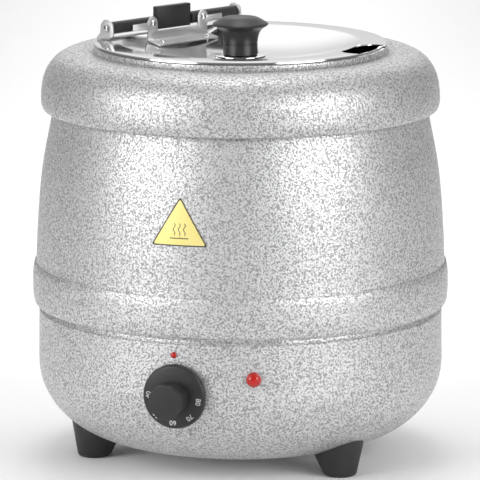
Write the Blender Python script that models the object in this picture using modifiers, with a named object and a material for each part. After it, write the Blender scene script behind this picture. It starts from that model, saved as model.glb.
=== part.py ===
"""Soup kettle: a round wet-heat warmer with a lift-out pot and a two-part folding lid.

+Z is up, the front faces -Y, and the origin is on the floor under the kettle's axis.
Profiles are (radius, height) pairs in millimetres; everything is built in metres.
"""

import math

import bmesh
import bpy
from mathutils import Matrix, Vector

MM = 0.001
GAP = 0.3                       # clearance between neighbouring pieces

# Casing
BEAD_R = 170.0                  # outside of the bead, the kettle's widest part
WALL_R = 165.5                  # bowl wall
BOWL_BOTTOM = 14.0              # underside of the bowl above the floor
BOWL_SPRING = 80.0              # height where the wall starts to curve in
BOWL_FLAT_R = 85.5              # flat circle under the bowl
COLLAR_R = 162.4                # widest part of the rim collar
COLLAR_LOW = 294.0              # height of that widest part
NECK_R = 119.3                  # upright ring round the lid
RIM = 337.6                     # top of the neck
SHEET = 1.2                     # casing sheet
OPENING_R = 74.0                # service opening under the bowl

# Vessels
POT_R = 111.5                   # inside of the soup pot: about 10 litres to the rim
POT_FLOOR = 80.5
PAN_R = 115.0                   # inside of the water pan
PAN_FLOOR = 65.5
STEEL = 0.8

# Lid
LID_TOP = 340.0
LID_R = 118.8
LID_DISH_R = 96.0
LID_PAD_R = 22.0
LID_CENTRE = 328.0
LID_SHEET = 0.9
HINGE_OFF = 80.0                # hinge axis from the kettle's centre
HINGE_ANGLE = 135.0             # direction of the hinge seen from the centre
HINGE_Z = 349.5
EAR_S = 74.0                    # end ears from the middle of the hinge
TAB_S = 28.8                    # tabs of the lid leaf from the middle
BLOCK_S = 18.8                  # half width of the hinge block
NOTCH_ANGLE = -24.0             # ladle notch

# Controls, as angles round the axis from the front (-Y), positive to the right
DIAL_AT, DIAL_Z, DIAL_R = -17.9, 80.0, 26.0
LAMP_AT, LAMP_Z = 3.6, 94.4
MARK_AT, MARK_Z = -18.6, 112.5
PLATE_AT, PLATE_LOW, PLATE_TALL, PLATE_WIDE = -17.0, 200.2, 39.0, 46.5
FOOT_ANGLES = {"foot_right": -49.0, "foot_rear": 71.0, "foot_left": -169.0}
FOOT_R = 116.0
STEPS = 36

for item in list(bpy.data.objects):
    bpy.data.objects.remove(item, do_unlink=True)

PARTS = bpy.data.collections.new("soup_kettle")
CUTTERS = bpy.data.collections.new("cutters")
for group in (PARTS, CUTTERS):
    bpy.context.scene.collection.children.link(group)


def material(name, colour, metallic, roughness):
    mat = bpy.data.materials.new(name)
    mat.use_nodes = True
    shader = mat.node_tree.nodes["Principled BSDF"]
    shader.inputs["Base Color"].default_value = (*colour, 1.0)
    shader.inputs["Metallic"].default_value = metallic
    shader.inputs["Roughness"].default_value = roughness
    return mat


HAMMER = material("hammertone_enamel", (0.58, 0.58, 0.59), 0.6, 0.42)
POLISHED = material("polished_steel", (0.80, 0.80, 0.80), 1.0, 0.12)
SATIN = material("satin_steel", (0.62, 0.62, 0.63), 1.0, 0.35)
ALUMINIUM = material("cast_aluminium", (0.55, 0.56, 0.57), 1.0, 0.5)
PHENOLIC = material("black_phenolic", (0.022, 0.022, 0.022), 0.0, 0.35)
FOOT_PLASTIC = material("black_plastic", (0.03, 0.03, 0.03), 0.0, 0.55)
RED_LENS = material("red_lens", (0.65, 0.02, 0.01), 0.0, 0.15)
GOLD = material("gold_foil", (0.90, 0.78, 0.25), 0.3, 0.4)
CERAMIC = material("white_ceramic", (0.80, 0.78, 0.72), 0.0, 0.6)


def finish(obj, mat, collection=PARTS, smooth=30):
    """Put an object in its collection with its own material and shade it."""
    for old in list(obj.users_collection):
        old.objects.unlink(obj)
    collection.objects.link(obj)
    obj.data.materials.clear()
    if mat:
        own = mat.copy()
        own.name = obj.name
        obj.data.materials.append(own)
    if collection is CUTTERS:
        obj.hide_render = True
        obj.display_type = 'WIRE'
    elif smooth:
        obj.data.shade_smooth()
        obj.data.set_sharp_from_angle(angle=math.radians(smooth))
    return obj


def from_bmesh(name, bm, mat, collection=PARTS, smooth=30):
    mesh = bpy.data.meshes.new(name)
    bm.to_mesh(mesh)
    bm.free()
    return finish(bpy.data.objects.new(name, mesh), mat, collection, smooth)


def turned(name, profile, mat, steps=STEPS, wall=0.0, ring=False, collection=PARTS):
    """Turn a profile about local Z; with a wall it is sheet, the profile its outer face."""
    bm = bmesh.new()
    points = [bm.verts.new((r * MM, 0.0, z * MM)) for r, z in profile]
    for a, b in zip(points, points[1:]):
        bm.edges.new((a, b))
    if ring:
        bm.edges.new((points[-1], points[0]))
    obj = from_bmesh(name, bm, mat, collection, smooth=0)
    screw = obj.modifiers.new("turn", 'SCREW')
    screw.axis = 'Z'
    screw.steps = screw.render_steps = steps
    screw.use_merge_vertices = True
    screw.merge_threshold = 0.00001
    screw.use_smooth_shade = True
    if wall:
        solid = obj.modifiers.new("sheet", 'SOLIDIFY')
        solid.thickness = wall * MM
        solid.offset = -1.0
        solid.use_even_offset = True
    return obj


def cylinder(name, radius, low, high, mat, steps=24, top=None, collection=PARTS):
    """A cylinder or cone along local Z from low to high."""
    bm = bmesh.new()
    bmesh.ops.create_cone(bm, cap_ends=True, segments=steps, radius1=radius * MM,
                          radius2=(radius if top is None else top) * MM,
                          depth=(high - low) * MM,
                          matrix=Matrix.Translation((0, 0, (low + high) / 2 * MM)))
    return from_bmesh(name, bm, mat, collection)


def box(name, low, high, mat, collection=PARTS, bevel=0.0):
    """A box between two corners in local millimetres."""
    centre = [(a + b) / 2 * MM for a, b in zip(low, high)]
    size = [(b - a) * MM for a, b in zip(low, high)]
    bm = bmesh.new()
    bmesh.ops.create_cube(bm, size=1.0, matrix=Matrix.Translation(centre)
                          @ Matrix.Diagonal((*size, 1.0)))
    obj = from_bmesh(name, bm, mat, collection)
    if bevel:
        edge = obj.modifiers.new("bevel", 'BEVEL')
        edge.width = bevel * MM
        edge.segments = 2
    return obj


def slab(name, outline, low, high, mat, collection=PARTS):
    """A flat outline (x, y) extruded from low to high along local Z."""
    curve = bpy.data.curves.new(name, 'CURVE')
    curve.dimensions = '2D'
    curve.fill_mode = 'BOTH'
    curve.extrude = (high - low) / 2 * MM
    spline = curve.splines.new('POLY')
    spline.points.add(len(outline) - 1)
    for point, (x, y) in zip(spline.points, outline):
        point.co = (x * MM, y * MM, 0.0, 1.0)
    spline.use_cyclic_u = True
    return meshed(name, curve, mat, collection, (0, 0, (low + high) / 2 * MM))


def tube(name, path, radius, mat, collection=PARTS):
    """A round wire along a path of points in millimetres."""
    curve = bpy.data.curves.new(name, 'CURVE')
    curve.dimensions = '3D'
    curve.bevel_depth = radius * MM
    curve.bevel_resolution = 1
    curve.use_fill_caps = True
    spline = curve.splines.new('POLY')
    spline.points.add(len(path) - 1)
    for point, at in zip(spline.points, path):
        point.co = (*[c * MM for c in at], 1.0)
    return meshed(name, curve, mat, collection)


def meshed(name, curve, mat, collection, offset=(0, 0, 0)):
    """Turn a curve into a welded mesh object of the same name."""
    source = bpy.data.objects.new(name + "_curve", curve)
    bpy.context.scene.collection.objects.link(source)
    bpy.context.view_layer.update()
    evaluated = source.evaluated_get(bpy.context.evaluated_depsgraph_get())
    bm = bmesh.new()
    bm.from_mesh(bpy.data.meshes.new_from_object(evaluated))
    bpy.data.objects.remove(source, do_unlink=True)
    bmesh.ops.remove_doubles(bm, verts=bm.verts, dist=0.000001)
    bmesh.ops.recalc_face_normals(bm, faces=bm.faces)
    bmesh.ops.translate(bm, verts=bm.verts, vec=offset)
    return from_bmesh(name, bm, mat, collection)


def combine(target, other, operation='DIFFERENCE'):
    """Cut, join or intersect target with other, which becomes a hidden guide."""
    if other.name not in CUTTERS.objects:
        finish(other, None, CUTTERS)
    boolean = target.modifiers.new(other.name, 'BOOLEAN')
    boolean.operation = operation
    boolean.solver = 'EXACT'
    boolean.object = other
    return target


def cut(target, *others):
    for other in others:
        combine(target, other)
    return target


def join(target, *others):
    for other in others:
        combine(target, other, 'UNION')
    return target


def arc(cx, cy, radius, start, end, count):
    """Points on an arc in degrees, in the profile's plane."""
    for i in range(count):
        a = math.radians(start + (end - start) * i / (count - 1))
        yield cx + radius * math.cos(a), cy + radius * math.sin(a)


def quarter(cr, cz, a, b, power, count, start=90.0, end=0.0):
    """Points on a super-ellipse from start to end degrees."""
    for i in range(count):
        t = math.radians(start + (end - start) * i / (count - 1))
        c, s = math.cos(t), math.sin(t)
        yield (cr + a * abs(c) ** (2 / power),
               cz + math.copysign(b * abs(s) ** (2 / power), s))


def frame_at(name, angle, radius, height, tilt=0.0):
    """An empty on the casing whose local Z points outwards; angle 0 is the front."""
    a = math.radians(angle)
    out = Vector((math.sin(a), -math.cos(a), math.tan(math.radians(tilt)))).normalized()
    empty = bpy.data.objects.new(name, None)
    bpy.context.scene.collection.objects.link(empty)
    empty.matrix_world = (Matrix.Translation((radius * MM * math.sin(a),
                                              -radius * MM * math.cos(a), height * MM))
                          @ out.to_track_quat('Z', 'Y').to_matrix().to_4x4())
    return empty


def ride(parent, *objects):
    for obj in objects:
        obj.parent = parent
    bpy.context.view_layer.update()


# ---------------------------------------------------------------- casing
bowl_curve = list(quarter(BOWL_FLAT_R, BOWL_SPRING, WALL_R - BOWL_FLAT_R,
                          BOWL_SPRING - BOWL_BOTTOM, 2.06, 8, 0.0, -90.0))
bowl = turned("bowl", [(WALL_R, 142.0)] + bowl_curve + [(OPENING_R, BOWL_BOTTOM)],
              HAMMER, wall=SHEET)

barrel_wall = [(150.2, 300.0), (155.1, 273.0), (160.2, 247.0), (163.6, 221.0),
               (166.0, 188.0), (167.2, 162.6)]
bead = [(169.4, 156.5), (BEAD_R, 148.0), (BEAD_R, 138.0), (169.2, 130.0), (167.4, 126.4)]
barrel = turned("barrel", barrel_wall + bead, HAMMER, wall=SHEET)

shoulder = list(quarter(130.0, COLLAR_LOW, COLLAR_R - 130.0, 39.0, 2.4, 7))
collar_profile = ([(113.8, RIM), (118.4, RIM), (NECK_R, RIM - 0.9), (NECK_R, RIM - 4.4),
                   (121.4, RIM - 5.8)] + shoulder
                  + [(161.4, 288.4), (158.4, 285.8), (155.0, 285.4)])
collar = turned("rim_collar", collar_profile, HAMMER, wall=SHEET)

bottom_plate = turned("bottom_plate", [(0, BOWL_BOTTOM - GAP), (81.0, BOWL_BOTTOM - GAP),
                                       (81.0, BOWL_BOTTOM - GAP - 1.2),
                                       (0, BOWL_BOTTOM - GAP - 1.2)], SATIN, steps=32)

# ---------------------------------------------------------------- feet
bowl_clear = turned("bowl_clearance", [(0, 150.0), (WALL_R + GAP, 150.0)]
                    + [(r + GAP * 0.7, z - GAP) for r, z in bowl_curve]
                    + [(0, BOWL_BOTTOM - GAP)], None, collection=CUTTERS)
for foot_name, angle in FOOT_ANGLES.items():
    a = math.radians(angle)
    place = Matrix.Rotation(a, 4, 'Z') @ Matrix.Translation((FOOT_R * MM, 0, 0))
    bm = bmesh.new()
    bmesh.ops.create_cone(bm, cap_ends=True, segments=20, radius1=13.0 * MM,
                          radius2=25.0 * MM, depth=34.0 * MM,
                          matrix=Matrix.Translation((0, 0, 17.0 * MM)))
    for vert in bm.verts:
        if vert.co.z < 0.017:
            vert.co.x += 6.5 * MM
    foot = from_bmesh(foot_name, bm, FOOT_PLASTIC)
    soft = foot.modifiers.new("soft", 'BEVEL')
    soft.width = 3.0 * MM
    soft.segments = 2
    soft.limit_method = 'ANGLE'
    soft.angle_limit = math.radians(40)
    foot.matrix_world = place
    hole = cylinder(foot_name + "_bore", 2.6, -5, 45, None, 12, collection=CUTTERS)
    sink = cylinder(foot_name + "_sink", 6.0, -5, 8, None, 16, collection=CUTTERS)
    screw = turned(foot_name + "_screw", [(0, 30.0), (2.2, 29.5), (2.2, 7.6), (4.8, 7.6),
                                          (4.8, 4.6), (0, 4.6)], SATIN, steps=12)
    for obj in (hole, sink, screw):
        obj.matrix_world = place @ Matrix.Translation((4.0 * MM, 0, 0))
    cut(foot, bowl_clear, hole, sink)
    cut(bowl, hole)

# ---------------------------------------------------------------- water pan and heater
pan = turned("water_pan", [(117.6, RIM - 2.4), (PAN_R + STEEL, RIM - 2.4),
                           (PAN_R + STEEL, PAN_FLOOR + 7)]
             + list(arc(PAN_R - 8 + STEEL, PAN_FLOOR + 8 - STEEL, 8, -22, -90, 3))
             + [(0, PAN_FLOOR - STEEL)], SATIN, wall=STEEL)

heater_plate = turned("heater_plate", [(5.0, 64.0), (98.0, 64.0), (98.0, 61.4),
                                       (5.0, 61.4)], ALUMINIUM, steps=32, ring=True)
element = turned("heating_element", list(arc(80.0, 56.3, 4.6, 90, -225, 8)), SATIN,
                 steps=24, ring=True)
for side in (-1, 1):
    stub = cylinder("element_pin_%d" % side, 2.2, 46.5, 56.0, None, 10, collection=CUTTERS)
    stub.location = (side * 9 * MM, 79.5 * MM, 0)
    join(element, stub)
shield = turned("heat_shield", [(100.0, 58.0), (104.0, 44.4), (5.0, 44.4)], SATIN,
                steps=32, wall=0.8)
for side in (-1, 1):
    port = box("shield_port_%d" % side, (side * 9 - 5, 74, 40), (side * 9 + 5, 85, 50),
               None, CUTTERS)
    cut(shield, port)
clamp = turned("clamp_bolt", [(0, 61.0), (3.0, 60.6), (3.0, 12.2), (6.0, 12.2),
                              (6.0, 9.0), (0, 9.0)], SATIN, steps=12)
clamp_nut = turned("clamp_nut", [(3.9, 43.2), (7.0, 43.2), (7.0, 38.0), (3.9, 38.0)],
                SATIN, steps=6, ring=True)
cut(bottom_plate, cylinder("plate_bore", 3.4, 5, 20, None, 16, collection=CUTTERS))

cutout = cylinder("thermal_cutout", 9.0, 50.0, 61.0, PHENOLIC, 20)
cutout.location = (34 * MM, 30 * MM, 0)

# ---------------------------------------------------------------- thermostat and dial
dial_frame = frame_at("dial_axis", DIAL_AT, 0.0, DIAL_Z)
thermostat = box("thermostat", (-15, -17, 124), (15, 17, 152), SATIN, bevel=1.0)
bush = cylinder("thermostat_bush", 4.8, 150, 166.4, None, 16, collection=CUTTERS)
shaft_bore = cylinder("shaft_bore", 3.3, 140, 175, None, 16, collection=CUTTERS)
bush_hole = cylinder("bush_hole", 5.2, 155, 172, None, 16, collection=CUTTERS)
shaft = cylinder("thermostat_shaft", 3.0, 141, 180, SATIN, 14)
join(thermostat, bush)
cut(thermostat, shaft_bore)
cut(bowl, bush_hole)

dial = turned("control_dial", [(0, 173.4), (16.0, 173.3), (24.2, 172.2), (25.5, 171.2),
                               (DIAL_R, 170.2), (DIAL_R, 167.2), (0, 167.2)],
              PHENOLIC, steps=40)
grip = cylinder("dial_grip", 13.4, 172.0, 194.0, None, 8, top=14.6, collection=CUTTERS)
grip.matrix_world = Matrix.Rotation(math.radians(22.5), 4, 'Z')
hollow = turned("dial_hollow", [(6.0, 170.6), (23.5, 170.6), (23.5, 160.0), (6.0, 160.0)],
                None, steps=24, ring=True, collection=CUTTERS)
dial_bore = cylinder("dial_bore", 3.3, 160, 180.6, None, 14, collection=CUTTERS)
join(dial, grip)
cut(dial, hollow, dial_bore)
ride(dial_frame, thermostat, bush, shaft_bore, bush_hole, shaft, dial, grip, hollow,
     dial_bore)

bulb = tube("sensing_bulb", [(-28, -26, 56.6), (30, -26, 56.6)], 3.0, SATIN)
capillary = tube("capillary", [(-26, -26, 56.6), (-33, -26, 55.0), (-36, -36, 48.4),
                               (-40, -92, 48.4), (-41, -112, 52.0), (-41, -114, 70.0)],
                 0.9, None, CUTTERS)
join(bulb, capillary)
shield_slot = box("shield_slot", (-44, -106, 43.0), (-35, -90, 66.0), None, CUTTERS)
cut(shield, shield_slot)

# ---------------------------------------------------------------- lamp, marker, label
lamp_frame = frame_at("lamp_axis", LAMP_AT, 0.0, LAMP_Z)
lens = turned("pilot_lamp_lens", [(0, 171.6), (3.2, 171.1), (5.2, 169.4), (6.2, 167.6),
                                  (6.2, 165.9), (0, 165.9)], RED_LENS, steps=20)
lamp = turned("pilot_lamp_body", [(0, 165.5), (4.6, 165.5), (4.6, 163.4), (6.0, 163.4),
                                  (6.0, 160.4), (4.6, 160.4), (4.6, 142.0), (0, 142.0)],
              CERAMIC, steps=16)
lamp_hole = cylinder("lamp_hole", 5.2, 155, 175, None, 16, collection=CUTTERS)
cut(bowl, lamp_hole)
ride(lamp_frame, lens, lamp, lamp_hole)

mark_frame = frame_at("mark_axis", MARK_AT, 0.0, MARK_Z)
marker = turned("dial_marker", [(0, 167.2), (1.4, 167.0), (2.5, 166.3), (2.5, 165.7),
                                (1.6, 165.7), (1.6, 160.5), (0, 160.5)], RED_LENS, steps=12)
mark_hole = cylinder("mark_hole", 1.9, 155, 175, None, 12, collection=CUTTERS)
cut(bowl, mark_hole)
ride(mark_frame, marker, mark_hole)

label_wall = [(r + GAP, z) for r, z in barrel_wall[1:5]]
label = turned("caution_plate", label_wall + [(r + 0.5, z) for r, z in label_wall[::-1]],
               GOLD, steps=72, ring=True)
half = PLATE_WIDE / 2
label_frame = frame_at("label_axis", PLATE_AT, 0.0, PLATE_LOW)
stamp = slab("label_outline", [(-half, 0), (half, 0), (0, PLATE_TALL)], 120, 200,
             None, CUTTERS)
ride(label_frame, stamp)
combine(label, stamp, 'INTERSECT')

# ---------------------------------------------------------------- supply inlet
gland_frame = frame_at("gland_axis", 180.0, 0.0, 64.0)
gland = turned("cable_gland", [(4.2, 186.2), (6.6, 186.2), (8.2, 184.0), (8.2, 170.0),
                               (11.0, 170.0), (11.0, 165.9), (7.0, 165.9), (7.0, 146.0),
                               (4.2, 146.0)], FOOT_PLASTIC, steps=18, ring=True)
gland_nut = turned("gland_nut", [(8.5, 154.4), (12.0, 154.4), (12.0, 149.4),
                                 (8.5, 149.4)], FOOT_PLASTIC, steps=6, ring=True)
gland_hole = cylinder("gland_hole", 7.4, 140, 175, None, 18, collection=CUTTERS)
cut(bowl, gland_hole)
ride(gland_frame, gland, gland_nut, gland_hole)
terminal = box("terminal_block", (24, 126, 46), (58, 140, 60), CERAMIC, bevel=1.0)

# ---------------------------------------------------------------- soup pot
pot = turned("soup_pot", [(116.4, RIM + GAP), (POT_R + STEEL + 1.6, RIM + GAP),
                          (POT_R + STEEL, RIM - 1.6),
                          (POT_R + STEEL, POT_FLOOR + 10)]
             + list(arc(POT_R + STEEL - 10, POT_FLOOR + 10 - STEEL, 10, -22, -90, 4))
             + [(0, POT_FLOOR - STEEL)], POLISHED, wall=STEEL)

# ---------------------------------------------------------------- folding lid
HINGE = (Matrix.Rotation(math.radians(HINGE_ANGLE - 90), 4, 'Z')
         @ Matrix.Translation((0, HINGE_OFF * MM, HINGE_Z * MM)))
hinge_frame = bpy.data.objects.new("hinge_axis", None)
bpy.context.scene.collection.objects.link(hinge_frame)
hinge_frame.matrix_world = HINGE


def dish(r):
    """Height of the lid's face at radius r: a flat pad under the knob, then a dish."""
    return LID_CENTRE + 11.2 * max(0.0, (r - LID_PAD_R) / (LID_DISH_R - LID_PAD_R)) ** 2


lid_profile = ([(r, dish(r)) for r in (0, 22, 46, 66, 82, 95)]
               + [(99.0, LID_TOP), (117.8, LID_TOP), (LID_R, LID_TOP - 0.4),
                  (LID_R + 0.2, LID_TOP - 1.7)])
lid = turned("lid_front", lid_profile, POLISHED, steps=40, wall=LID_SHEET)
rear = turned("lid_rear", lid_profile, POLISHED, steps=40, wall=LID_SHEET)
behind = box("lid_split_rear", (-140, -0.3, -60), (140, 80, 20), None, CUTTERS)
ahead = box("lid_split_front", (-140, -260, -60), (140, 0.3, 20), None, CUTTERS)
ride(hinge_frame, behind, ahead)
cut(lid, behind)
cut(rear, ahead)

notch = slab("ladle_notch", [(x, y) for x, y in
                             ((18.5 * math.copysign(abs(math.cos(t)) ** 0.7, math.cos(t)),
                               27.0 * math.copysign(abs(math.sin(t)) ** 0.7, math.sin(t)))
                              for t in (math.tau * i / 28 for i in range(28)))],
             320, 360, None, CUTTERS)
notch.matrix_world = (Matrix.Rotation(math.radians(NOTCH_ANGLE), 4, 'Z')
                      @ Matrix.Translation((113.0 * MM, 0, 0)))
cut(lid, notch)

knob_base = LID_CENTRE + GAP + 1.0
washer = turned("knob_washer", [(3.0, LID_CENTRE + 1.0), (20.5, LID_CENTRE + 1.0),
                                (20.5, LID_CENTRE + GAP), (3.0, LID_CENTRE + GAP)],
                POLISHED, steps=24, ring=True)
knob = turned("lid_knob", [(0, 360.3), (12.0, 359.7), (17.5, 357.6), (22.8, 354.9),
                           (22.0, 353.0), (17.6, 350.0), (15.0, 345.6), (13.9, 339.6),
                           (14.3, knob_base + 0.4), (0, knob_base + 0.4)],
              PHENOLIC, steps=24)
knob_bore = cylinder("knob_bore", 2.3, 320, 345, None, 12, collection=CUTTERS)
knob_screw = turned("knob_screw", [(0, 343.5), (2.0, 343.2), (2.0, 326.8), (4.6, 326.8),
                                   (4.2, 324.4), (0, 323.8)], SATIN, steps=12)
cut(knob, knob_bore)
cut(lid, knob_bore)

# Rear bracket: a strip on the fixed segment whose ends turn up into ears
EAR = 1.5
FOOT_Z = LID_TOP - HINGE_Z + GAP                # lid surface, from the hinge axis
ear_outline = (list(arc(0, 0, 7.4, 150, -5, 8)) + [(7.8, -4.0), (12.6, FOOT_Z)]
               + [(0.6, FOOT_Z)] + list(arc(0, 0, 8.9, -100, -140, 4)) + [(-7.3, -2.0)])
bracket = box("hinge_bracket", (-EAR_S, 1.2, FOOT_Z), (EAR_S, 10.8, FOOT_Z + EAR),
              SATIN)
for side in (-1, 1):
    ear = slab("ear_%d" % side, ear_outline, -EAR / 2, EAR / 2, None, CUTTERS)
    ear.matrix_world = (Matrix.Translation((side * (EAR_S - EAR / 2) * MM, 0, 0))
                        @ Matrix(((0, 0, 1, 0), (1, 0, 0, 0), (0, 1, 0, 0), (0, 0, 0, 1))))
    hole = cylinder("ear_hole_%d" % side, 1.9, EAR_S - 9, EAR_S + 6, None, 12,
                    collection=CUTTERS)
    hole.matrix_world = Matrix.Rotation(math.radians(90 * side), 4, 'Y')
    join(bracket, ear)
    cut(bracket, hole)
    ride(hinge_frame, ear, hole)
ride(hinge_frame, bracket)

AXIS = Matrix.Rotation(math.radians(90), 4, 'Y')
rod = cylinder("hinge_rod", 2.0, -EAR_S + EAR + GAP, EAR_S - EAR - GAP, SATIN, 14)
rod.matrix_world = AXIS
ride(hinge_frame, rod)
for side, tag in ((-1, "left"), (1, "right")):
    end = turned("hinge_screw_" + tag, [(0, EAR_S + 2.2), (2.2, EAR_S + 1.7),
                                        (3.6, EAR_S + GAP), (1.5, EAR_S + GAP),
                                        (1.5, EAR_S - 8), (0, EAR_S - 8)],
                 POLISHED, steps=14)
    tap = cylinder("rod_tap_" + tag, 1.8, EAR_S - 8.4, EAR_S, None, 12,
                   collection=CUTTERS)
    for obj in (end, tap):
        obj.matrix_world = Matrix.Rotation(math.radians(90 * side), 4, 'Y')
    cut(rod, tap)
    ride(hinge_frame, end, tap)
    sleeve = turned("hinge_sleeve_" + tag, [(2.4, EAR_S - 2.4), (5.0, EAR_S - 2.4),
                                            (5.0, BLOCK_S + 0.5), (2.4, BLOCK_S + 0.5)],
                    PHENOLIC, steps=18, ring=True)
    sleeve.matrix_world = Matrix.Rotation(math.radians(90 * side), 4, 'Y')
    ride(hinge_frame, sleeve)

block = box("hinge_block", (-BLOCK_S, -3.2, -5.8), (BLOCK_S, 3.2, 12.6), PHENOLIC, bevel=0.6)
block_bore = cylinder("block_bore", 2.4, -30, 30, None, 14, collection=CUTTERS)
block_bore.matrix_world = AXIS
cut(block, block_bore)
ride(hinge_frame, block, block_bore)

# Lid leaf: one bent sheet, a foot on the dish and a wall with two tabs on the sleeves
LEAF_Y = -6.7
toe = dish(math.hypot(HINGE_OFF - 20, 30)) - HINGE_Z + 1.0
heel = dish(math.hypot(HINGE_OFF - 7, 30)) - HINGE_Z + 1.0
leaf_wall = ([(34.0, heel - 0.2), (34.0, -4.6), (51.0, -3.6), (51.0, 1.4), (34.7, 1.4)]
             + list(arc(TAB_S, 0.5, 5.6, 10, 180, 8)) + [(TAB_S - 5.6, -6.4)])
leaf_wall = leaf_wall + [(-x, y) for x, y in leaf_wall[::-1]]
leaf = slab("lid_leaf", leaf_wall, -0.6, 0.6, SATIN)
leaf.matrix_world = (Matrix.Translation((0, LEAF_Y * MM, 0))
                     @ Matrix.Rotation(math.radians(90), 4, 'X'))
leaf_foot = slab("leaf_foot", [(LEAF_Y + 0.6, heel + 1.1), (LEAF_Y + 0.6, heel - 0.1),
                               (-20.0, toe - 0.1), (-20.0, toe + 1.1)], -34, 34, None,
                 CUTTERS)
leaf_foot.matrix_world = Matrix(((0, 0, 1, 0), (1, 0, 0, 0), (0, 1, 0, 0), (0, 0, 0, 1)))
ride(hinge_frame, leaf, leaf_foot)
join(leaf, leaf_foot)
tilt = math.atan2(heel - toe, 13.0)
for side, tag in ((-1, "left"), (1, "right")):
    tab_screw = turned("leaf_screw_" + tag, [(0, 9.6), (1.8, 9.2), (2.9, 7.7), (1.2, 7.7),
                                             (1.2, 5.4), (0, 5.4)], POLISHED, steps=14)
    tab_hole = cylinder("tab_hole_" + tag, 1.5, 5.5, 8.5, None, 12, collection=CUTTERS)
    rivet = turned("leaf_rivet_" + tag, [(0, 3.0), (1.8, 2.5), (2.6, 1.4), (1.2, 1.4),
                                         (1.2, -2.2), (0, -2.2)], POLISHED, steps=12)
    rivet_hole = cylinder("rivet_hole_" + tag, 1.6, -4.0, 4.0, None, 12,
                          collection=CUTTERS)
    for obj in (tab_screw, tab_hole):
        obj.matrix_world = (Matrix.Translation((side * TAB_S * MM, 0, 0.5 * MM))
                            @ Matrix.Rotation(math.radians(90), 4, 'X'))
    for obj in (rivet, rivet_hole):
        obj.matrix_world = (Matrix.Translation((side * 26 * MM, -15 * MM,
                                                (toe + (heel - toe) * 5 / 13) * MM))
                            @ Matrix.Rotation(tilt, 4, 'X'))
    ride(hinge_frame, tab_screw, tab_hole, rivet, rivet_hole)
    cut(leaf, tab_hole, rivet_hole)
    cut(lid, rivet_hole)
    pin = turned("bracket_rivet_" + tag, [(0, FOOT_Z + 4.2), (1.8, FOOT_Z + 3.6),
                                          (2.6, FOOT_Z + EAR + GAP),
                                          (1.2, FOOT_Z + EAR + GAP),
                                          (1.2, FOOT_Z - 2.0), (0, FOOT_Z - 2.0)],
                 POLISHED, steps=12)
    pin_hole = cylinder("bracket_hole_" + tag, 1.6, FOOT_Z - 4, FOOT_Z + 4, None, 12,
                        collection=CUTTERS)
    for obj in (pin, pin_hole):
        obj.matrix_world = Matrix.Translation((side * 66 * MM, 6.5 * MM, 0))
    ride(hinge_frame, pin, pin_hole)
    cut(bracket, pin_hole)
    cut(rear, pin_hole)
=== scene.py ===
"""Soup kettle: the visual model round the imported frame. Metres, +Z up, front to -Y."""

import math

import bmesh
import bpy
from mathutils import Matrix, Vector


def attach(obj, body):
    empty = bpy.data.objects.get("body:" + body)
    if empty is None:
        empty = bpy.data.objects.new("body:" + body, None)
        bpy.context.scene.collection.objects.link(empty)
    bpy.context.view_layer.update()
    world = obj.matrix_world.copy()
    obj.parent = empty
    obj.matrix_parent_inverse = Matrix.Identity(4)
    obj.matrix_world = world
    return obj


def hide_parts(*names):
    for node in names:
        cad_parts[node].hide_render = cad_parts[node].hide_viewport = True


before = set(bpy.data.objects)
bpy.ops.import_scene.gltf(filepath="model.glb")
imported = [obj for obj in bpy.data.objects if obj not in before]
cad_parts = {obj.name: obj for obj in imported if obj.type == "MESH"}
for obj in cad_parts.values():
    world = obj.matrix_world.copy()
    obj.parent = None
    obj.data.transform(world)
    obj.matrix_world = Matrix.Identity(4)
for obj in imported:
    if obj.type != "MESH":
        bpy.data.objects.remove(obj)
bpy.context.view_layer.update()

MM = 0.001
FINE = 192                                   # steps of the large turned pieces
SMALL = 64                                   # steps of the small turned pieces
ON_AXIS = 1e-6                               # radii below this lie on the axis
WELD = 1e-6                                  # points closer than this are one

# ---------------------------------------------------------------- camera
CAMERA_X = -0.0004
CAMERA_BACK = 3.8
CAMERA_HEIGHT = 0.892
CAMERA_PITCH = 10.68
LENS = 353.9
SENSOR = 36.0
FAR = 60.0

cam = bpy.data.cameras.new("camera")
cam.lens = LENS
cam.sensor_width = SENSOR
cam.clip_end = FAR
camera = bpy.data.objects.new("camera", cam)
camera.location = (CAMERA_X, -CAMERA_BACK, CAMERA_HEIGHT)
camera.rotation_euler = (math.radians(90.0 - CAMERA_PITCH), 0.0, 0.0)
bpy.context.scene.collection.objects.link(camera)
bpy.context.scene.camera = camera
bpy.context.scene.view_settings.view_transform = "Standard"


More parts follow.
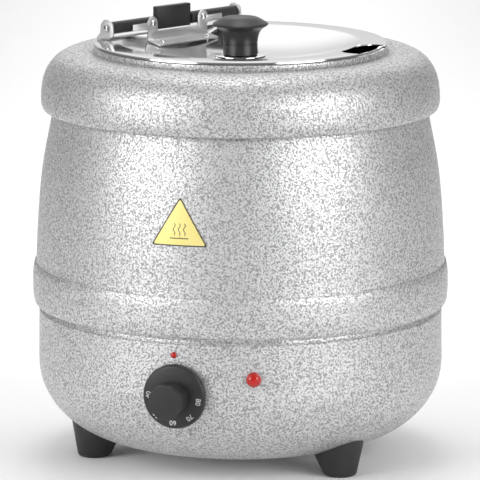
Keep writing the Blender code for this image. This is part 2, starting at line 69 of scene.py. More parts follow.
# ---------------------------------------------------------------- materials
class Recipe:
    """A material whose nodes are added one call at a time."""

    def __init__(self, name, roughness, metallic=0.0, **sockets):
        self.mat = bpy.data.materials.new(name)
        self.mat.use_nodes = True
        self.tree = self.mat.node_tree
        self.shader = self.tree.nodes["Principled BSDF"]
        self.shader.inputs["Metallic"].default_value = metallic
        self.shader.inputs["Roughness"].default_value = roughness
        for socket, value in sockets.items():
            self.shader.inputs[socket.replace("_", " ")].default_value = value
        self.place = self.tree.nodes.new("ShaderNodeTexCoord").outputs["Object"]

    def add(self, kind, inputs, output=0, **settings):
        made = self.tree.nodes.new("ShaderNode" + kind)
        for key, value in settings.items():
            setattr(made, key, value)
        for key, value in inputs.items():
            if isinstance(value, bpy.types.NodeSocket):
                self.tree.links.new(value, made.inputs[key])
            else:
                made.inputs[key].default_value = value
        return made.outputs[output]

    def noise(self, scale, detail=2.0, rough=0.5, place=None, distortion=0.0):
        return self.add("TexNoise", {"Vector": place or self.place, "Scale": scale,
                                     "Detail": detail, "Roughness": rough,
                                     "Distortion": distortion}, "Fac")

    def stretched(self, scale):
        """The object's own coordinates, stretched: a grain that runs one way."""
        return self.add("Mapping", {"Vector": self.place, "Scale": scale})

    def range(self, value, low, high, to_low, to_high):
        return self.add("MapRange", {"Value": value, "From Min": low, "From Max": high,
                                     "To Min": to_low, "To Max": to_high})

    def blend(self, factor, a, b):
        mixed = self.tree.nodes.new("ShaderNodeMix")
        mixed.data_type = "RGBA"
        self.tree.links.new(factor, mixed.inputs[0])
        for socket, value in ((6, a), (7, b)):
            if isinstance(value, bpy.types.NodeSocket):
                self.tree.links.new(value, mixed.inputs[socket])
            else:
                mixed.inputs[socket].default_value = (*value, 1.0)
        return mixed.outputs[2]

    def set(self, socket, value):
        self.tree.links.new(value, self.shader.inputs[socket])

    def bump(self, height, strength, distance):
        self.set("Normal", self.add("Bump", {"Height": height, "Strength": strength,
                                             "Distance": distance}))


def hammertone():
    """Silver hammered enamel: shining flats in a maze of fine darker furrows."""
    r = Recipe("hammertone_enamel", 0.4, 0.6)
    worms = r.noise(690.0, 1.5, 0.35, distortion=0.5)
    fine = r.noise(1250.0, 1.0, 0.4)
    patches = r.noise(14.0, 2.0, 0.5)
    maze = r.range(worms, 0.39, 0.57, 0.0, 1.0)
    speck = r.range(fine, 0.35, 0.65, 0.72, 1.0)
    both = r.add("Math", {0: maze, 1: speck}, operation="MULTIPLY")
    light = r.blend(patches, (0.72, 0.72, 0.725), (0.77, 0.77, 0.77))
    r.set("Base Color", r.blend(both, (0.30, 0.30, 0.305), light))
    r.set("Roughness", r.range(both, 0.0, 1.0, 0.5, 0.36))
    r.bump(both, 0.5, 0.00025)
    return r.mat


def polished():
    """Buffed stainless steel with faint haze and fine polishing marks."""
    r = Recipe("polished_steel", 0.07, 1.0)
    haze = r.noise(9.0, 3.0, 0.6)
    marks = r.noise(1.0, 4.0, 0.7, r.stretched((60.0, 900.0, 60.0)))
    r.set("Base Color", r.blend(haze, (0.84, 0.84, 0.845), (0.88, 0.88, 0.88)))
    wear = r.add("Math", {0: haze, 1: marks}, operation="MULTIPLY")
    r.set("Roughness", r.range(wear, 0.1, 0.5, 0.07, 0.16))
    r.bump(marks, 0.03, 0.00008)
    return r.mat


def satin():
    """Plain mill-finish steel with a short brushed grain."""
    r = Recipe("satin_steel", 0.32, 1.0)
    brush = r.noise(1.0, 5.0, 0.7, r.stretched((90.0, 90.0, 1800.0)))
    stain = r.noise(40.0, 3.0, 0.55)
    r.set("Base Color", r.blend(stain, (0.76, 0.76, 0.765), (0.88, 0.88, 0.88)))
    r.set("Roughness", r.range(brush, 0.3, 0.7, 0.26, 0.46))
    r.bump(brush, 0.12, 0.0001)
    return r.mat


def aluminium():
    """Cast aluminium, open-grained and dull."""
    r = Recipe("cast_aluminium", 0.5, 1.0)
    grains = r.noise(520.0, 4.0, 0.6)
    r.set("Base Color", r.blend(grains, (0.50, 0.51, 0.52), (0.66, 0.66, 0.67)))
    r.set("Roughness", r.range(grains, 0.3, 0.7, 0.42, 0.62))
    r.bump(grains, 0.3, 0.0002)
    return r.mat


def moulded(name, dark, light, low, high, depth):
    """Moulded plastic: a fine spark grain, soft mottling and a few rubbed places."""
    r = Recipe(name, (low + high) / 2, 0.0, Specular_IOR_Level=0.38)
    grain = r.noise(1500.0, 2.0, 0.5)
    mottle = r.noise(70.0, 4.0, 0.6)
    r.set("Base Color", r.blend(mottle, dark, light))
    r.set("Roughness", r.range(mottle, 0.3, 0.7, low, high))
    r.bump(grain, depth, 0.00012)
    return r.mat


def red_lens():
    """Red polycarbonate: clear gloss over fine prisms."""
    r = Recipe("red_lens", 0.12, 0.0, Coat_Weight=0.3, Subsurface_Weight=0.15,
               Subsurface_Scale=0.002)
    depth = r.noise(260.0, 2.0, 0.5)
    prism = r.add("TexVoronoi", {"Vector": r.place, "Scale": 900.0}, "Distance")
    r.set("Base Color", r.blend(depth, (0.30, 0.003, 0.002), (0.56, 0.010, 0.004)))
    r.set("Roughness", r.range(depth, 0.3, 0.7, 0.08, 0.2))
    r.bump(prism, 0.1, 0.0002)
    return r.mat


def gold_foil():
    """Yellow metallised label foil, lightly creased; its colour goes paler in soft patches,
    a painted reflection.
    """
    r = Recipe("gold_foil", 0.35, 0.25, Coat_Weight=0.3)
    # painted reflection: soft paler patches in the foil's colour stand in for light on it
    painted_sheen = r.noise(30.0, 2.0, 0.5)
    crease = r.noise(240.0, 3.0, 0.6)
    r.set("Base Color", r.blend(painted_sheen, (0.82, 0.68, 0.20), (0.90, 0.80, 0.34)))
    r.set("Roughness", r.range(crease, 0.3, 0.7, 0.26, 0.42))
    r.bump(crease, 0.08, 0.00008)
    return r.mat


def ceramic():
    """Glazed white ceramic with fine pores."""
    r = Recipe("white_ceramic", 0.5, 0.0, Coat_Weight=0.2)
    pores = r.noise(900.0, 3.0, 0.6)
    tint = r.noise(60.0, 2.0, 0.5)
    r.set("Base Color", r.blend(tint, (0.78, 0.76, 0.70), (0.86, 0.85, 0.80)))
    r.set("Roughness", r.range(pores, 0.3, 0.7, 0.4, 0.6))
    r.bump(pores, 0.2, 0.0001)
    return r.mat


def ink(name, dark, light):
    """Printed ink, a little uneven and rubbed."""
    r = Recipe(name, 0.5)
    rub = r.noise(700.0, 3.0, 0.65)
    r.set("Base Color", r.blend(rub, dark, light))
    r.set("Roughness", r.range(rub, 0.3, 0.7, 0.4, 0.6))
    return r.mat


HAMMER = hammertone()
POLISHED = polished()
SATIN = satin()
ALUMINIUM = aluminium()
PHENOLIC = moulded("black_phenolic", (0.018, 0.018, 0.019), (0.030, 0.030, 0.031),
                   0.30, 0.46, 0.10)
PLASTIC = moulded("black_plastic", (0.016, 0.016, 0.017), (0.030, 0.030, 0.032),
                  0.42, 0.60, 0.35)
LENS_RED = red_lens()
GOLD = gold_foil()
CERAMIC = ceramic()
DARK_INK = ink("black_ink", (0.03, 0.03, 0.03), (0.08, 0.07, 0.05))
WHITE_INK = ink("white_ink", (0.55, 0.55, 0.54), (0.78, 0.78, 0.77))

NODE_MATERIALS = {
    HAMMER: ["bowl", "barrel", "rim_collar"],
    POLISHED: ["knob_washer", "soup_pot", "lid_front", "lid_rear", "hinge_screw_left",
               "hinge_screw_right", "leaf_screw_left", "leaf_screw_right",
               "leaf_rivet_left", "leaf_rivet_right", "bracket_rivet_left",
               "bracket_rivet_right"],
    SATIN: ["water_pan", "bottom_plate", "heating_element", "heat_shield", "clamp_bolt",
            "clamp_nut", "thermostat", "thermostat_shaft", "sensing_bulb", "knob_screw",
            "hinge_bracket", "hinge_rod", "lid_leaf", "foot_left_screw",
            "foot_right_screw", "foot_rear_screw"],
    ALUMINIUM: ["heater_plate"],
    PHENOLIC: ["lid_knob", "control_dial", "hinge_block", "hinge_sleeve_left",
               "hinge_sleeve_right", "thermal_cutout"],
    PLASTIC: ["foot_left", "foot_right", "foot_rear", "cable_gland", "gland_nut"],
    LENS_RED: ["pilot_lamp_lens", "dial_marker"],
    GOLD: ["caution_plate"],
    CERAMIC: ["pilot_lamp_body", "terminal_block"],
}
for finish, names in NODE_MATERIALS.items():
    for node_name in names:
        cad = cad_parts[node_name]
        if not cad.material_slots:
            cad.data.materials.append(finish)
        for held in cad.material_slots:
            held.material = finish


# ---------------------------------------------------------------- shapes
def arc_points(cx, cy, radius, start, end, count):
    """Points on a circle from start to end degrees."""
    for i in range(count):
        a = math.radians(start + (end - start) * i / (count - 1))
        yield cx + radius * math.cos(a), cy + radius * math.sin(a)


def quarter(cr, cz, a, b, power, count, start=90.0, end=0.0):
    """Points on a super-ellipse from start to end degrees."""
    for i in range(count):
        t = math.radians(start + (end - start) * i / (count - 1))
        c, s = math.cos(t), math.sin(t)
        yield (cr + a * abs(c) ** (2 / power),
               cz + math.copysign(b * abs(s) ** (2 / power), s))


def spline(points, per=6):
    """A smooth curve through the points."""
    pts = [points[0]] + list(points) + [points[-1]]
    out = []
    for p0, p1, p2, p3 in zip(pts, pts[1:], pts[2:], pts[3:]):
        for i in range(per):
            t = i / per
            out.append(tuple(
                0.5 * (2 * b + (c - a) * t + (2 * a - 5 * b + 4 * c - d) * t * t
                       + (3 * b - a - 3 * c + d) * t ** 3)
                for a, b, c, d in zip(p0, p1, p2, p3)))
    return out + [tuple(points[-1])]


def rounded(points, radius, count=4, closed=False, least=18.0):
    """The polyline with its corners rounded to about the radius."""
    out = []
    n = len(points)
    for i, p in enumerate(points):
        here = Vector(p)
        if not closed and i in (0, n - 1):
            out.append(tuple(p))
            continue
        back, on = Vector(points[i - 1]) - here, Vector(points[(i + 1) % n]) - here
        if math.degrees(back.angle(-on)) < least:
            out.append(tuple(p))
            continue
        size = min(radius, back.length * 0.45, on.length * 0.45)
        a, b = here + back.normalized() * size, here + on.normalized() * size
        for k in range(count + 1):
            t = k / count
            out.append(tuple(a * (1 - t) ** 2 + here * 2 * t * (1 - t) + b * t * t))
    return out


def sheet_ring(outer, wall, lip=0.4):
    """A closed section of sheet: the outer face, then the inner one back again."""
    inner = []
    for i, p in enumerate(outer):
        here = Vector(p)
        sides = []
        if i:
            sides.append((here - Vector(outer[i - 1])).normalized())
        if i < len(outer) - 1:
            sides.append((Vector(outer[i + 1]) - here).normalized())
        along = sum(sides, Vector((0.0, 0.0))).normalized()
        miter = max(0.5, along.dot(sides[0]))
        normal = Vector((-along[1], along[0]))
        inner.append(tuple(here - normal * wall / miter))
    return rounded(list(outer) + inner[::-1], lip, 3, closed=True, least=60.0)


def piece(name, bm, body, finish, nodes=(), matrix=None, sharp=35.0, rides=True):
    """A finished object: shaded, placed, riding on its body and standing for nodes."""
    bmesh.ops.recalc_face_normals(bm, faces=bm.faces)
    mesh = bpy.data.meshes.new(name)
    bm.to_mesh(mesh)
    bm.free()
    if matrix:
        mesh.transform(matrix)
    mesh.materials.append(finish)
    mesh.shade_smooth()
    mesh.set_sharp_from_angle(angle=math.radians(sharp))
    obj = bpy.data.objects.new(name, mesh)
    bpy.context.scene.collection.objects.link(obj)
    if rides:
        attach(obj, body)
        if nodes:
            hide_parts(*nodes)
    return obj


def turn(profile, steps):
    """A bmesh turned about local Z from (radius, height) in millimetres."""
    bm = bmesh.new()
    rings = []
    for r, z in profile:
        if r < ON_AXIS:
            rings.append([bm.verts.new((0.0, 0.0, z * MM))])
        else:
            rings.append([bm.verts.new((r * MM * math.cos(math.tau * i / steps),
                                        r * MM * math.sin(math.tau * i / steps), z * MM))
                          for i in range(steps)])
    pairs = list(zip(rings, rings[1:]))
    if len(rings[0]) > 1 and len(rings[-1]) > 1:
        pairs.append((rings[-1], rings[0]))
    for a, b in pairs:
        for i in range(steps):
            j = (i + 1) % steps
            ring = [a[i % len(a)], a[j % len(a)], b[j % len(b)], b[i % len(b)]]
            ring = list(dict.fromkeys(ring))
            if len(ring) > 2:
                bm.faces.new(ring)
    return bm


def turned(name, profile, body, finish, nodes=(), steps=FINE, matrix=None, soften=0.0):
    """A turned piece, with its profile's corners rounded by soften millimetres."""
    closed = profile[0][0] > ON_AXIS and profile[-1][0] > ON_AXIS
    if soften:
        profile = rounded(profile, soften, 3, closed=closed)
    return piece(name, turn(profile, steps), body, finish, nodes, matrix)


def prism(outline, low, high):
    """A bmesh of a flat outline in millimetres between two heights."""
    bm = bmesh.new()
    base = [bm.verts.new((x * MM, y * MM, low * MM)) for x, y in outline]
    top = [bm.verts.new((x * MM, y * MM, high * MM)) for x, y in outline]
    bm.faces.new(base[::-1])
    bm.faces.new(top)
    n = len(outline)
    for i in range(n):
        j = (i + 1) % n
        bm.faces.new((base[i], base[j], top[j], top[i]))
    return bm


def carve(obj, cutter, operation="DIFFERENCE"):
    """Cut the cutter out of the piece, or join it on, and drop the cutter."""
    mod = obj.modifiers.new("cut", "BOOLEAN")
    mod.operation = operation
    mod.solver = "EXACT"
    mod.object = cutter
    bpy.context.view_layer.update()
    deps = bpy.context.evaluated_depsgraph_get()
    mesh = bpy.data.meshes.new_from_object(obj.evaluated_get(deps))
    obj.modifiers.clear()
    old = obj.data
    obj.data = mesh
    mesh.name = obj.name
    bpy.data.meshes.remove(old)
    bpy.data.objects.remove(cutter, do_unlink=True)


def reshade(obj, sharp=30.0):
    """Shade a carved piece smooth again, with its edges sharp."""
    obj.data.shade_smooth()
    obj.data.set_sharp_from_angle(angle=math.radians(sharp))


def block(low, high, matrix=None):
    """A cutter box between two corners in millimetres."""
    bm = prism([(low[0], low[1]), (high[0], low[1]), (high[0], high[1]),
                (low[0], high[1])], low[2], high[2])
    return piece("cutter", bm, None, SATIN, matrix=matrix, rides=False)


def softened(node, width, body, finish):
    """A node's shape again with its edges broken, so that they catch the light."""
    bm = bmesh.new()
    bm.from_mesh(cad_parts[node].data)
    bmesh.ops.remove_doubles(bm, verts=bm.verts, dist=WELD)
    bmesh.ops.dissolve_limit(bm, angle_limit=math.radians(1.5), verts=bm.verts,
                             edges=bm.edges)
    edges = [e for e in bm.edges
             if len(e.link_faces) == 2 and e.calc_face_angle(0.0) > math.radians(28.0)]
    bmesh.ops.bevel(bm, geom=edges, offset=width * MM, segments=3, profile=0.5,
                    affect="EDGES", clamp_overlap=True)
    return piece(node + "_form", bm, body, finish, (node,), sharp=40.0)


def outward(angle, height):
    """A frame on the kettle's axis whose local Z points out at this angle; 0 is front."""
    a = math.radians(angle)
    out = Vector((math.sin(a), -math.cos(a), 0.0))
    return (Matrix.Translation((0.0, 0.0, height * MM))
            @ out.to_track_quat("Z", "Y").to_matrix().to_4x4())


# ---------------------------------------------------------------- casing
SHEET = 1.2
BOWL_FLAT, BOWL_SPRING, BOWL_LOW, WALL = 85.5, 80.0, 14.0, 165.5
bowl_curve = list(quarter(BOWL_FLAT, BOWL_SPRING, WALL - BOWL_FLAT, BOWL_SPRING - BOWL_LOW,
                          2.06, 44, 0.0, -90.0))
groove = [(165.4, 127.4), (163.6, 126.2), (163.0, 124.4), (163.6, 122.4), (165.1, 120.8)]
turned("bowl_form", sheet_ring([(WALL, 142.0)] + groove + bowl_curve + [(74.0, BOWL_LOW)],
                               SHEET),
       "housing", HAMMER, ("bowl",))

barrel_wall = [(150.2, 300.0), (155.1, 273.0), (160.2, 247.0), (163.6, 221.0),
               (166.0, 188.0), (167.2, 162.6)]
bead = [(167.7, 160.2), (169.2, 157.0), (170.0, 150.0), (170.0, 137.0), (169.3, 130.0),
        (168.5, 127.4), (167.2, 126.4)]
turned("barrel_form", sheet_ring(spline(barrel_wall + bead, 7), SHEET), "housing", HAMMER,
       ("barrel",))

collar = (rounded([(113.8, 337.6), (119.2, 337.6), (119.5, 335.4), (119.1, 332.9),
                   (118.6, 331.6), (119.6, 331.2), (121.4, 332.4)], 0.9)
          + list(quarter(130.0, 294.0, 32.4, 39.0, 2.4, 34, 86.0))
          + rounded([(162.3, 291.0), (160.9, 286.0), (155.0, 285.4)], 4.2, 8))
turned("rim_collar_form", sheet_ring(collar, SHEET), "housing", HAMMER, ("rim_collar",))

turned("bottom_plate_form", [(0.0, 13.7), (81.0, 13.7), (81.0, 12.5), (60.0, 12.5),
                             (58.0, 12.9), (24.0, 12.9), (22.0, 12.5), (0.0, 12.5)],
       "housing", SATIN, ("bottom_plate",), steps=128, soften=0.5)

# Feet, each leaning outwards to its toe and cut to the bowl above it
FOOT_ANGLES = {"foot_right": -49.0, "foot_rear": 71.0, "foot_left": -169.0}
FOOT_OUT, FOOT_TOP, FOOT_LEAN, SCREW_OUT = 0.116, 0.034, 0.0065, 0.004
clear_profile = ([(0.0, 150.0), (165.8, 150.0)] + [(r + 0.2, z - 0.3) for r, z in bowl_curve]
                 + [(0.0, 13.7)])
for foot_name, foot_angle in FOOT_ANGLES.items():
    place = (Matrix.Rotation(math.radians(foot_angle), 4, "Z")
             @ Matrix.Translation((FOOT_OUT, 0.0, 0.0)))
    bm = turn(rounded([(0.0, 0.0), (13.0, 0.0), (25.0, 34.0), (0.0, 34.0)], 3.4, 6), 72)
    for vert in bm.verts:
        vert.co.x += FOOT_LEAN * (1.0 - vert.co.z / FOOT_TOP)
    foot = piece(foot_name + "_form", bm, "housing", PLASTIC, (foot_name,), place)
    carve(foot, piece("cutter", turn(clear_profile, FINE), None, SATIN, rides=False))
    sink = place @ Matrix.Translation((SCREW_OUT, 0.0, 0.0))
    carve(foot, piece("cutter", turn([(0.0, 8.0), (6.0, 8.0), (6.0, -5.0), (0.0, -5.0)],
                                     32), None, SATIN, matrix=sink, rides=False))
    reshade(foot, 35.0)
    head = turned(foot_name + "_screw_form",
                  [(0.0, 30.0), (2.2, 29.5), (2.2, 7.6), (4.8, 7.6), (4.6, 5.4),
                   (3.2, 4.7), (0.0, 4.6)], "housing", SATIN, (foot_name + "_screw",),
                  steps=32, matrix=sink)
    for turned_by in (0.0, 90.0):
        carve(head, block((-2.2, -0.4, 4.0), (2.2, 0.4, 5.8),
                          sink @ Matrix.Rotation(math.radians(turned_by), 4, "Z")))
    reshade(head)

# ---------------------------------------------------------------- vessels
flange = [(116.4, 337.9), (114.6, 337.9), (113.4, 337.3), (112.6, 336.2), (112.3, 334.0)]
pot_outer = flange + [(112.3, 92.0)] + list(arc_points(101.5, 90.5, 10.8, 0.0, -90.0, 10))
turned("soup_pot_form", sheet_ring(pot_outer + [(0.0, 79.7)], 0.8, 0.3)[:-3] + [(0.0, 80.5)],
       "pot", POLISHED, ("soup_pot",))
turned("water_pan_form",
       [(117.6, 335.2), (115.8, 335.2), (115.8, 74.0)]
       + list(arc_points(107.3, 73.2, 8.5, 0.0, -90.0, 8))
       + [(0.0, 64.7), (0.0, 65.5)]
       + list(arc_points(107.2, 73.2, 7.7, -90.0, 0.0, 8))
       + [(115.0, 74.0), (115.0, 336.0), (117.6, 336.0)], "housing", SATIN,
       ("water_pan",))

# ---------------------------------------------------------------- folding lid
HINGE_OFF, HINGE_Z = 0.080, 0.3495
HINGE = (Matrix.Rotation(math.radians(45.0), 4, "Z")
         @ Matrix.Translation((0.0, HINGE_OFF, HINGE_Z)))
LID_CENTRE, LID_TOP, LID_SHEET = 328.0, 340.0, 0.9
PAD_R, DISH_WIDE, DISH_DEEP = 22.0, 74.0, 11.2
NOTCH_ANGLE, NOTCH_OUT = -24.0, 0.113
SPLIT = 0.3                                  # half the gap between the lid's two parts


def dish(r):
    """Height of the lid's face: a flat pad under the knob, then a shallow dish."""
    return LID_CENTRE + DISH_DEEP * max(0.0, (r - PAD_R) / DISH_WIDE) ** 2


lid_face = [(r, dish(r)) for r in (0.0, 10.0, 20.0, PAD_R)]
lid_face += [(r, dish(r)) for r in range(24, 96, 2)]
lid_face += spline([(95.2, 339.0), (97.2, 339.72), (99.4, LID_TOP)], 4)
lid_face += [(101.0, LID_TOP), (109.0, LID_TOP), (117.4, LID_TOP), (118.3, 339.85),
             (118.8, 339.4), (119.0, 338.3)]
lid_back = [(r - (0.1 if r > 90.0 else 0.0), z - LID_SHEET) for r, z in lid_face[:-4]]
lid_back += [(118.1, 338.6), (118.2, 338.3)]
lid_loop = lid_face + lid_back[::-1]

lid = turned("lid_front_form", lid_loop, "lid", POLISHED, ("lid_front",), steps=256)
carve(lid, block((-140.0, -SPLIT, -60.0), (140.0, 80.0, 20.0), HINGE))
notch = [(18.5 * math.copysign(abs(math.cos(t)) ** 0.7, math.cos(t)),
          27.0 * math.copysign(abs(math.sin(t)) ** 0.7, math.sin(t)))
         for t in (math.tau * i / 96 for i in range(96))]
carve(lid, piece("cutter", prism(notch, 320.0, 360.0), None, SATIN,
                 matrix=Matrix.Rotation(math.radians(NOTCH_ANGLE), 4, "Z")
                 @ Matrix.Translation((NOTCH_OUT, 0.0, 0.0)), rides=False))
reshade(lid, 28.0)
rear = turned("lid_rear_form", lid_loop, "cover", POLISHED, ("lid_rear",), steps=256)
carve(rear, block((-140.0, -260.0, -60.0), (140.0, SPLIT, 20.0), HINGE))
reshade(rear, 28.0)

turned("knob_washer_form", [(3.0, 329.0), (20.1, 329.0), (20.5, 328.8), (20.5, 328.3),
                            (3.0, 328.3)], "lid", POLISHED, ("knob_washer",), steps=96)
knob_profile = (spline([(0.0, 360.3), (6.0, 360.25), (11.5, 360.0), (14.8, 359.2),
                        (19.0, 356.9), (21.8, 355.3)], 5)
                + spline([(22.75, 354.4), (22.3, 353.3), (20.0, 351.8), (17.2, 349.6),
                          (15.4, 346.4), (14.4, 342.6), (14.0, 339.4)], 5)
                + [(13.9, 338.9), (13.45, 338.75), (13.45, 338.25), (13.95, 338.1),
                   (14.0, 334.0), (14.3, 330.4), (14.1, 329.7), (0.0, 329.7)])
turned("lid_knob_form", knob_profile, "lid", PHENOLIC, ("lid_knob",), steps=128)


def cross_head(name, nodes, body, profile, matrix, depth, width=0.55):
    """A small screw whose head has a cross recess."""
    made = turned(name, profile, body, POLISHED, nodes, steps=40, matrix=matrix,
                  soften=0.25)
    top = profile[0][1]
    reach = profile[1][0] * 0.85
    for by in (20.0, 110.0):
        carve(made, block((-reach, -width / 2, top - depth), (reach, width / 2, top + 1),
                          matrix @ Matrix.Rotation(math.radians(by), 4, "Z")))
    reshade(made)


def facing(side):
    """A frame along the hinge line whose local Z points to this end."""
    return HINGE @ Matrix.Rotation(math.radians(90.0 * side), 4, "Y")


EAR_S = 74.0                                 # end ears from the middle of the hinge
TAB_S = 0.0288                               # tabs of the leaf from the middle
turned("hinge_rod_form", [(0.0, -72.2), (1.9, -72.2), (2.0, -72.0), (2.0, 72.0),
                          (1.9, 72.2), (0.0, 72.2)], "cover", SATIN, ("hinge_rod",),
       steps=32, matrix=facing(1))
for side, tag in ((-1, "left"), (1, "right")):
    cross_head("hinge_screw_%s_form" % tag, ("hinge_screw_" + tag,), "cover",
               [(0.0, EAR_S + 2.2), (2.2, EAR_S + 1.8), (3.6, EAR_S + 0.3),
                (1.5, EAR_S + 0.3), (1.5, EAR_S - 8.0), (0.0, EAR_S - 8.0)],
               facing(side), 1.2)
    turned("hinge_sleeve_%s_form" % tag,
           [(2.4, 71.6), (4.6, 71.6), (5.0, 71.2), (5.0, 19.7), (4.6, 19.3), (2.4, 19.3)],
           "lid", PHENOLIC, ("hinge_sleeve_" + tag,), steps=SMALL, matrix=facing(side))
    cross_head("leaf_screw_%s_form" % tag, ("leaf_screw_" + tag,), "lid",
               [(0.0, 9.6), (1.8, 9.2), (2.9, 7.7), (1.2, 7.7), (1.2, 5.4), (0.0, 5.4)],
               HINGE @ Matrix.Translation((side * TAB_S, 0.0, 0.0005))
               @ Matrix.Rotation(math.radians(90.0), 4, "X"), 1.0, 0.45)
softened("hinge_bracket", 0.3, "cover", SATIN)
softened("lid_leaf", 0.25, "lid", SATIN)
softened("hinge_block", 0.35, "lid", PHENOLIC)

# ---------------------------------------------------------------- controls
DIAL = outward(-17.9, 80.0)
RIBS, RIB_DEPTH = 72, 0.024                  # depth as a share of the radius
RIB_FROM, RIB_TOP = 0.0255, 0.1705
NUMBER_OUT, NUMBER_LIFT, NUMBER_SIZE = 0.0206, 0.17283, 0.0058
bm = turn(rounded([(0.0, 173.4), (16.0, 173.3), (24.4, 172.2), (25.4, 171.4),
                   (25.4, 170.6), (26.0, 170.2), (26.0, 167.2), (0.0, 167.2)], 0.5, 3,
                  least=25.0), RIBS * 6)
for vert in bm.verts:
    reach = math.hypot(vert.co.x, vert.co.y)
    if reach > RIB_FROM and vert.co.z < RIB_TOP:
        turn_by = math.atan2(vert.co.y, vert.co.x)
        scale = 1.0 - RIB_DEPTH * (0.5 - 0.5 * math.cos(RIBS * turn_by))
        vert.co.x *= scale
        vert.co.y *= scale
dial = piece("control_dial_form", bm, "dial", PHENOLIC, ("control_dial",), DIAL)
bm = bmesh.new()
bmesh.ops.create_cone(bm, cap_ends=True, segments=8, radius1=0.0134, radius2=0.0146,
                      depth=0.024, matrix=Matrix.Translation((0.0, 0.0, 0.182)))
bmesh.ops.bevel(bm, geom=list(bm.edges), offset=0.0008, segments=4, profile=0.6,
                affect="EDGES", clamp_overlap=True)
grip = piece("cutter", bm, None, PHENOLIC, rides=False,
             matrix=DIAL @ Matrix.Rotation(math.radians(22.5), 4, "Z"))
carve(dial, grip, "UNION")
reshade(dial, 32.0)

for number, angle in ((40, 88.0), (50, 137.0), (60, 179.0), (70, 221.0), (80, 263.0)):
    curve = bpy.data.curves.new("numeral", "FONT")
    curve.body = str(number)
    curve.size = NUMBER_SIZE
    curve.align_x = "CENTER"
    curve.align_y = "CENTER"
    curve.extrude = 0.00006
    curve.resolution_u = 4
    source = bpy.data.objects.new("numeral", curve)
    bpy.context.scene.collection.objects.link(source)
    bpy.context.view_layer.update()
    mesh = bpy.data.meshes.new_from_object(
        source.evaluated_get(bpy.context.evaluated_depsgraph_get()))
    bpy.data.objects.remove(source, do_unlink=True)
    bm = bmesh.new()
    bm.from_mesh(mesh)
    bpy.data.meshes.remove(mesh)
    bmesh.ops.remove_doubles(bm, verts=bm.verts, dist=WELD)
    on_skirt = (DIAL @ Matrix.Rotation(math.radians(angle), 4, "Z")
                @ Matrix.Translation((0.0, NUMBER_OUT, NUMBER_LIFT))
                @ Matrix.Rotation(math.radians(-7.5), 4, "X"))
    piece("dial_number_%d" % number, bm, "dial", WHITE_INK, matrix=on_skirt)

LAMP = outward(3.6, 94.4)
turned("pilot_lamp_lens_form",
       spline([(0.0, 171.6), (1.8, 171.45), (3.4, 170.9), (4.6, 169.9), (5.3, 168.4)], 5)
       + [(5.5, 167.6), (5.9, 167.4), (6.0, 166.9), (6.0, 165.9), (0.0, 165.9)],
       "housing", LENS_RED, ("pilot_lamp_lens",), steps=SMALL, matrix=LAMP)
turned("dial_marker_form",
       spline([(0.0, 167.3), (1.1, 167.15), (2.0, 166.7), (2.5, 166.0)], 5)
       + [(2.5, 165.7), (1.6, 165.7), (1.6, 160.5), (0.0, 160.5)],
       "housing", LENS_RED, ("dial_marker",), steps=40, matrix=outward(-18.6, 112.5))

GLAND = outward(180.0, 64.0)
turned("cable_gland_form",
       [(4.2, 146.0), (4.2, 186.2), (5.9, 186.2), (6.6, 185.6), (8.0, 184.0),
        (8.2, 183.4), (7.6, 182.6), (8.2, 181.8), (8.2, 180.6), (7.6, 179.8),
        (8.2, 179.0), (8.2, 177.8), (7.6, 177.0), (8.2, 176.2), (8.2, 170.2),
        (10.6, 170.0), (11.0, 169.6), (11.0, 166.0), (7.0, 165.9), (7.0, 146.0)],
       "housing", PLASTIC, ("cable_gland",), steps=SMALL, matrix=GLAND)

# ---------------------------------------------------------------- caution plate
PLATE = math.radians(-17.0)
PLATE_LOW, PLATE_TALL, PLATE_WIDE = 200.2, 39.0, 46.5
wall_at = spline(barrel_wall, 12)


def on_barrel(x, y, lift):
    """A point of the flat label, wrapped on the barrel at this lift."""
    z = PLATE_LOW + y
    for (r0, z0), (r1, z1) in zip(wall_at, wall_at[1:]):
        if z1 <= z <= z0:
            r = r0 + (r1 - r0) * (z0 - z) / (z0 - z1)
            break
    a = PLATE + math.asin(x / r)
    r += lift
    return Vector((r * math.sin(a), -r * math.cos(a), z)) * MM


def strip(name, left, right, low, high, finish):
    """A thin raised band between two matching lines on the barrel."""
    bm = bmesh.new()
    rows = [[bm.verts.new(on_barrel(*line[i], lift)) for lift, line in
             ((low, left), (high, left), (high, right), (low, right))]
            for i in range(len(left))]
    closed = left[0] == left[-1]
    if closed:
        rows[-1] = rows[0]
    for a, b in zip(rows, rows[1:]):
        for k in range(4):
            bm.faces.new((a[k], a[(k + 1) % 4], b[(k + 1) % 4], b[k]))
    if not closed:
        bm.faces.new(rows[0])
        bm.faces.new(rows[-1][::-1])
    for vert in [v for v in bm.verts if not v.link_faces]:
        bm.verts.remove(vert)
    piece(name, bm, "housing", finish)


def triangle(inset):
    """The plate's outline drawn in by inset, with rounded corners, as a closed line."""
    corners = [(-PLATE_WIDE / 2, 0.0), (PLATE_WIDE / 2, 0.0), (0.0, PLATE_TALL)]
    inner = PLATE_TALL / 3
    centre = Vector((0.0, inner))
    scale = (inner - inset) / inner
    drawn = [tuple(centre + (Vector(c) - centre) * scale) for c in corners]
    soft = rounded(drawn, 2.4 * scale, 6, closed=True)
    out = []
    for a, b in zip(soft, soft[1:] + soft[:1]):
        count = 22 if (Vector(a) - Vector(b)).length > 10.0 else 1
        out += [tuple(Vector(a).lerp(Vector(b), i / count)) for i in range(count)]
    return out + [out[0]]


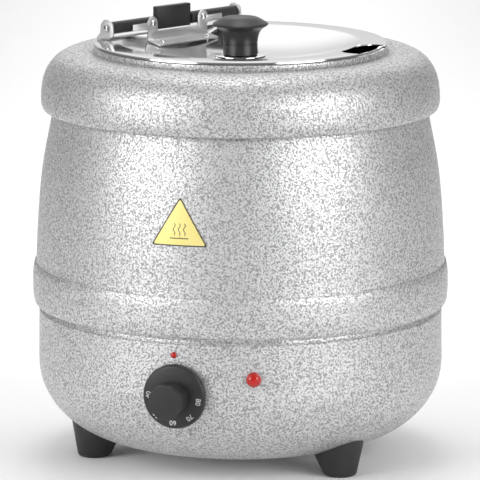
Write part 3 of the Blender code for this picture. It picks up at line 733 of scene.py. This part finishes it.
LAYERS = 14                                  # rings of faces that let the plate bend
PLATE_BACK, PLATE_FACE = 0.12, 0.32
INK_LOW = PLATE_FACE - 0.02
edge = triangle(0.0)[:-1]
bm = bmesh.new()
sides = []
for lift in (PLATE_BACK, PLATE_FACE):
    hub = bm.verts.new(on_barrel(0.0, PLATE_TALL / 3, lift))
    rings = [[hub]]
    for k in range(1, LAYERS + 1):
        rings.append([bm.verts.new(on_barrel(x * k / LAYERS, PLATE_TALL / 3
                                             + (y - PLATE_TALL / 3) * k / LAYERS, lift))
                      for x, y in edge])
    for a, b in zip(rings, rings[1:]):
        for i in range(len(edge)):
            j = (i + 1) % len(edge)
            bm.faces.new(list(dict.fromkeys((a[i % len(a)], a[j % len(a)], b[j], b[i]))))
    sides.append(rings[-1])
for i in range(len(edge)):
    j = (i + 1) % len(edge)
    bm.faces.new((sides[0][i], sides[0][j], sides[1][j], sides[1][i]))
piece("caution_plate_form", bm, "housing", GOLD, ("caution_plate",))

strip("caution_border", triangle(0.02), triangle(1.0), INK_LOW, PLATE_FACE + 0.05, DARK_INK)


def wave(x0):
    """A rising S curve, one sign of heat."""
    return [(x0 + 0.75 * math.sin(math.tau * t / 16.0), 8.4 + 9.6 * t / 24.0)
            for t in range(25)]


for k, x0 in enumerate((-4.2, 0.0, 4.2)):
    line = wave(x0)
    strip("heat_wave_%d" % (k + 1), [(x - 0.34, y) for x, y in line],
          [(x + 0.34, y) for x, y in line], INK_LOW, PLATE_FACE + 0.04, DARK_INK)
bar = [(-7.5 + 15.0 * i / 12.0, 5.8) for i in range(13)]
strip("heat_bar", bar, [(x, y + 0.8) for x, y in bar], INK_LOW, PLATE_FACE + 0.04,
      DARK_INK)

# ---------------------------------------------------------------- room and light
FLOOR_R = 7.0
bm = bmesh.new()
bmesh.ops.create_circle(bm, cap_ends=True, segments=96, radius=FLOOR_R)
f = Recipe("pale_floor", 0.9)
f.set("Base Color", f.blend(f.noise(3.0, 3.0), (0.90, 0.90, 0.90), (0.93, 0.93, 0.93)))
floor = piece("floor", bm, None, f.mat, rides=False)

world = bpy.data.worlds.new("studio")
world.use_nodes = True
bpy.context.scene.world = world
tree = world.node_tree
around = tree.nodes.new("ShaderNodeTexCoord").outputs["Generated"]
split = tree.nodes.new("ShaderNodeSeparateXYZ")
tree.links.new(around, split.inputs[0])


def sky(kind, inputs, **settings):
    """One node of the studio's surroundings."""
    made = tree.nodes.new("ShaderNode" + kind)
    for key, value in settings.items():
        setattr(made, key, value)
    for key, value in inputs.items():
        if isinstance(value, bpy.types.NodeSocket):
            tree.links.new(value, made.inputs[key])
        else:
            made.inputs[key].default_value = value
    return made.outputs[0]


def fade(value, low, high, to_low, to_high):
    """A smooth change from one level to another."""
    return sky("MapRange", {"Value": value, "From Min": low, "From Max": high,
                            "To Min": to_low, "To Max": to_high},
               interpolation_type="SMOOTHSTEP")


side = sky("Math", {0: split.outputs["X"]}, operation="ABSOLUTE")
back_wall = fade(side, 0.25, 0.60, 1.0, 0.0)
behind = fade(split.outputs["Y"], 0.0, 0.7, 0.0, 1.0)
wall = sky("Math", {0: back_wall, 1: behind}, operation="MULTIPLY")
ceiling = fade(split.outputs["Z"], 0.30, 0.90, 0.0, 0.30)
rise = fade(split.outputs["Z"], 0.10, 0.42, 0.58, 1.0)
wall = sky("Math", {0: wall, 1: rise}, operation="MULTIPLY")
level = sky("Math", {0: wall, 1: 0.92, 2: 0.185}, operation="MULTIPLY_ADD")
level = sky("Math", {0: level, 1: ceiling}, operation="ADD")
tree.nodes["Background"].inputs["Color"].default_value = (1.0, 1.0, 1.0, 1.0)
tree.links.new(level, tree.nodes["Background"].inputs["Strength"])


def softbox(name, spot, aim, wide, tall, power, spread):
    """A soft light that the camera doesn't see, turned to face its aim."""
    light = bpy.data.lights.new(name, "AREA")
    light.shape = "RECTANGLE"
    light.size = wide
    light.size_y = tall
    light.energy = power
    light.spread = math.radians(spread)
    obj = bpy.data.objects.new(name, light)
    obj.location = spot
    obj.rotation_euler = (Vector(aim) - Vector(spot)).to_track_quat("-Z", "Y").to_euler()
    obj.visible_camera = False
    bpy.context.scene.collection.objects.link(obj)


def at(angle, distance, height):
    """A place round the kettle: 0 degrees is the front, positive to the right."""
    a = math.radians(angle)
    return distance * math.sin(a), -distance * math.cos(a), height


softbox("left_box", at(-54.0, 2.4, 1.0), (0.0, 0.0, 0.19), 1.75, 1.9, 7.9, 60.0)
softbox("right_box", at(48.0, 2.4, 1.0), (0.0, 0.0, 0.19), 1.75, 1.9, 8.0, 60.0)
softbox("strip_box", (0.0, 2.0, 1.8), (0.0, 2.0, 0.0), 0.7, 3.8, 7.5, 55.0)
